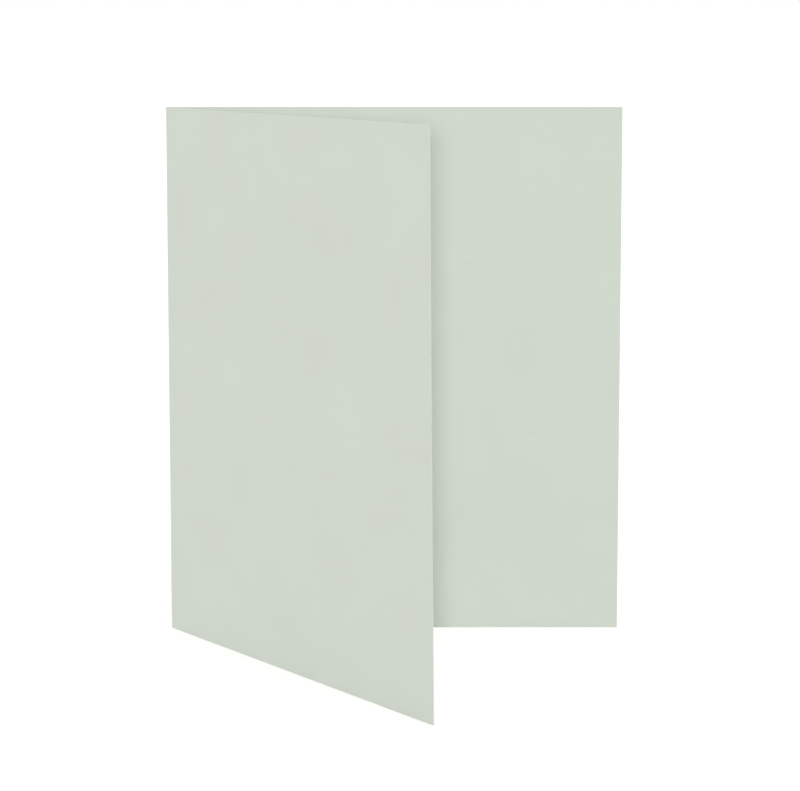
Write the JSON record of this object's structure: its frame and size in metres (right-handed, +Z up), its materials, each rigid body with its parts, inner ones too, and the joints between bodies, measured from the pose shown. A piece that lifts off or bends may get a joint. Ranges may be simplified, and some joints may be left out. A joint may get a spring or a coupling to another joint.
{
  "type": "folded card",
  "caption": "Blank card of pale sage board, folded along a crease and standing half open on its bottom edge, to be written in, printed or decorated.",
  "frame": {"origin": "on the surface the card stands on, in the middle of its footprint", "axes": "+Z up along the crease, +X along the rear panel away from the crease, +Y out of the rear panel's outside face; the cover swings out on the -Y side"},
  "size_m": [0.1202, 0.0988, 0.14],
  "materials": {
    "card_stock": "uncoated"
  },
  "bodies": {
    "root": {"folded_sheet": "card_stock"}
  },
  "joints": []
}
